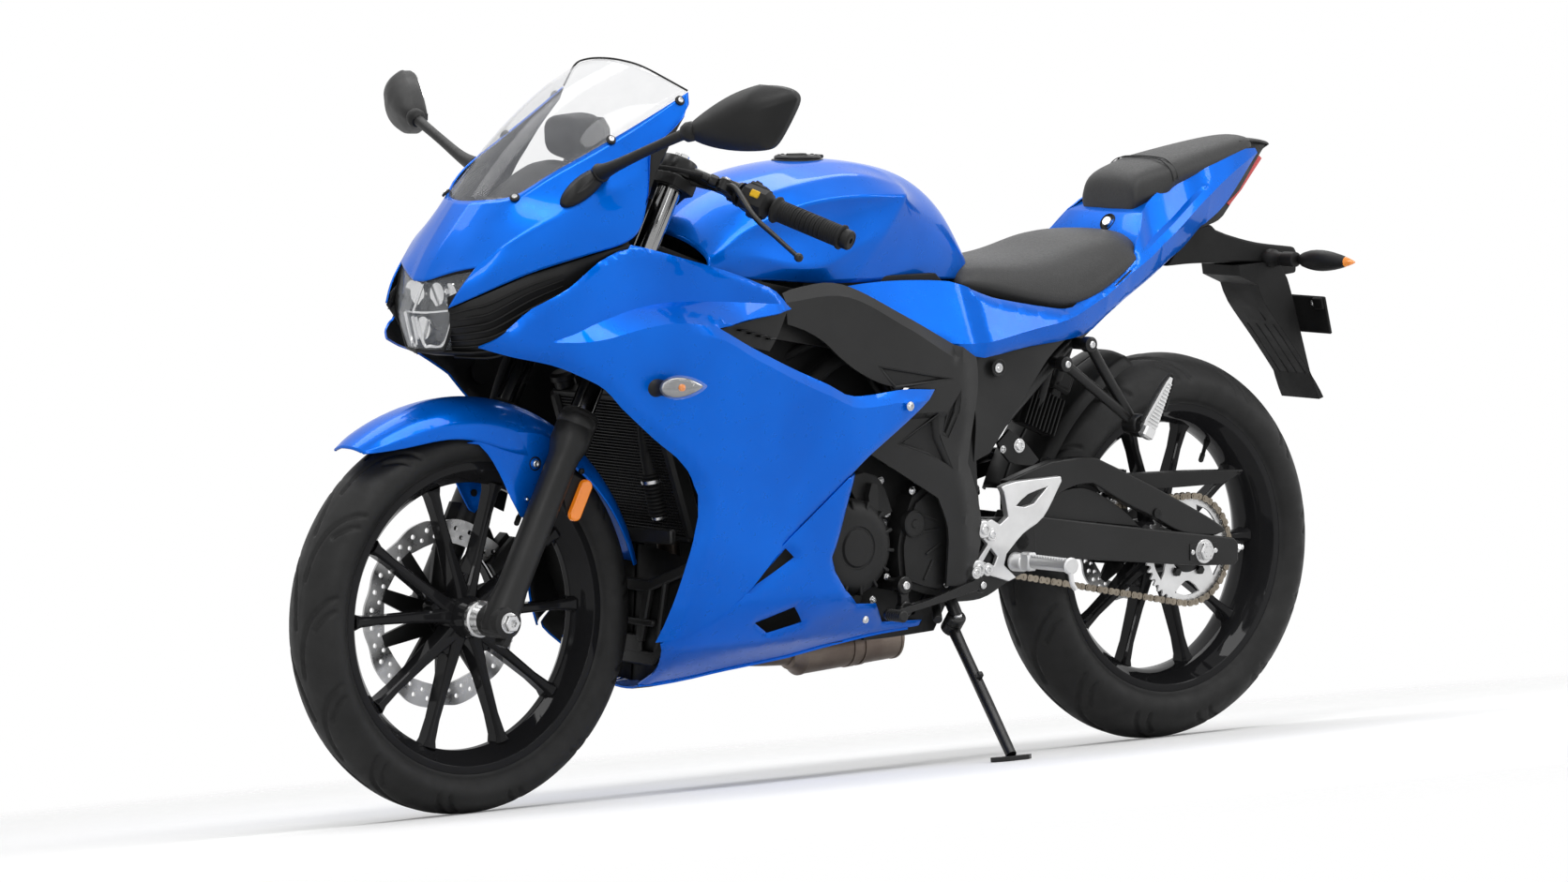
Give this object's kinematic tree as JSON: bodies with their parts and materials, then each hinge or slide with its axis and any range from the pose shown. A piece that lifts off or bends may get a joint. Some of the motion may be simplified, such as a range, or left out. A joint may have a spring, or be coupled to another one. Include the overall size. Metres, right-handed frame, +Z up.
{
  "type": "sport bike",
  "caption": "Fully faired sport bike with turning fork and wheels, a fold-up side stand and a hinged fuel cap, leaning on its stand.",
  "frame": {"origin": "centre of the bounding box on the ground", "axes": "+X forward along the bike, +Y to its left, +Z up from the ground; the bike itself leans 8 degrees to +Y on its side stand"},
  "size_m": [2.0149, 0.9684, 1.1273],
  "materials": {
    "blue_paint": "gloss blue paint",
    "tank_paint": "gloss blue paint",
    "black_metal": "satin black",
    "engine_metal": "dark grey, satin",
    "black_plastic": "matt black",
    "steel": "bare",
    "exhaust_steel": "heat tinted",
    "chain_steel": "gold tinted",
    "black_alloy": "gloss black",
    "silver_alloy": "satin silver",
    "tyre": "black rubber",
    "seat_cover": "grained black vinyl",
    "clear": "clear",
    "lamp_clear": "clear lens",
    "lamp_red": "red lens",
    "grip": "matt"
  },
  "bodies": {
    "chassis": {"frame": "black_metal", "subframe": "black_metal", "engine_block": "engine_metal", "engine_covers": "engine_metal", "radiator": "black_alloy", "exhaust": "exhaust_steel", "swingarm": "black_metal", "rear_axle": "steel", "drive_chain": "chain_steel", "rear_guards": "black_plastic", "rear_shock": "black_metal", "fuel_tank": "tank_paint", "rider_seat": "seat_cover", "pillion_seat": "seat_cover", "tail_cowl": "blue_paint", "tail_light": "lamp_red", "plate_holder": "black_plastic", "side_fairings": "blue_paint", "belly_pan": "blue_paint", "inner_fairing": "black_plastic", "nose_cowl": "blue_paint", "headlight": "lamp_clear", "windscreen": "clear", "instrument_panel": "black_plastic", "mirrors": "black_plastic", "turn_signals": "black_plastic", "rider_pegs": "silver_alloy", "pillion_pegs": "black_metal", "foot_controls": "silver_alloy"},
    "fork": {"fork_lowers": "black_alloy", "fork_tubes": "black_alloy", "triple_clamps": "black_metal", "handlebars": "grip", "hand_controls": "black_plastic", "front_fender": "blue_paint", "front_axle": "steel", "front_caliper": "black_metal"},
    "front_wheel": {"front_tyre": "tyre", "front_rim": "black_alloy", "front_disc": "steel"},
    "rear_wheel": {"rear_tyre": "tyre", "rear_rim": "black_alloy", "rear_disc": "steel", "rear_sprocket": "steel"},
    "side_stand": {"side_stand": "black_metal"},
    "fuel_cap": {"fuel_cap": "silver_alloy"}
  },
  "joints": [
    {"name": "steering", "type": "hinge", "parent": "chassis", "child": "fork", "pos_m": [0.41353, -0.03251, 0.80099], "axis": [-0.454, 0.124, 0.8823], "range_deg": [-30, 30]},
    {"name": "front_wheel_spin", "type": "hinge", "parent": "fork", "child": "front_wheel", "pos_m": [0.718, -0.10464, 0.28778], "axis": [0, 0.9903, -0.1392], "continuous": true},
    {"name": "rear_wheel_spin", "type": "hinge", "parent": "chassis", "child": "rear_wheel", "pos_m": [-0.642, -0.10227, 0.30461], "axis": [0, 0.9903, -0.1392], "continuous": true},
    {"name": "side_stand_fold", "type": "hinge", "parent": "chassis", "child": "side_stand", "pos_m": [-0.101, 0.02862, 0.20846], "axis": [0.1196, 0.775, 0.6205], "range_deg": [0, 95.2]},
    {"name": "fuel_cap_lid", "type": "hinge", "parent": "chassis", "child": "fuel_cap", "pos_m": [0.044, -0.01279, 0.94136], "axis": [0, -0.9903, 0.1392], "range_deg": [0, 95]}
  ]
}
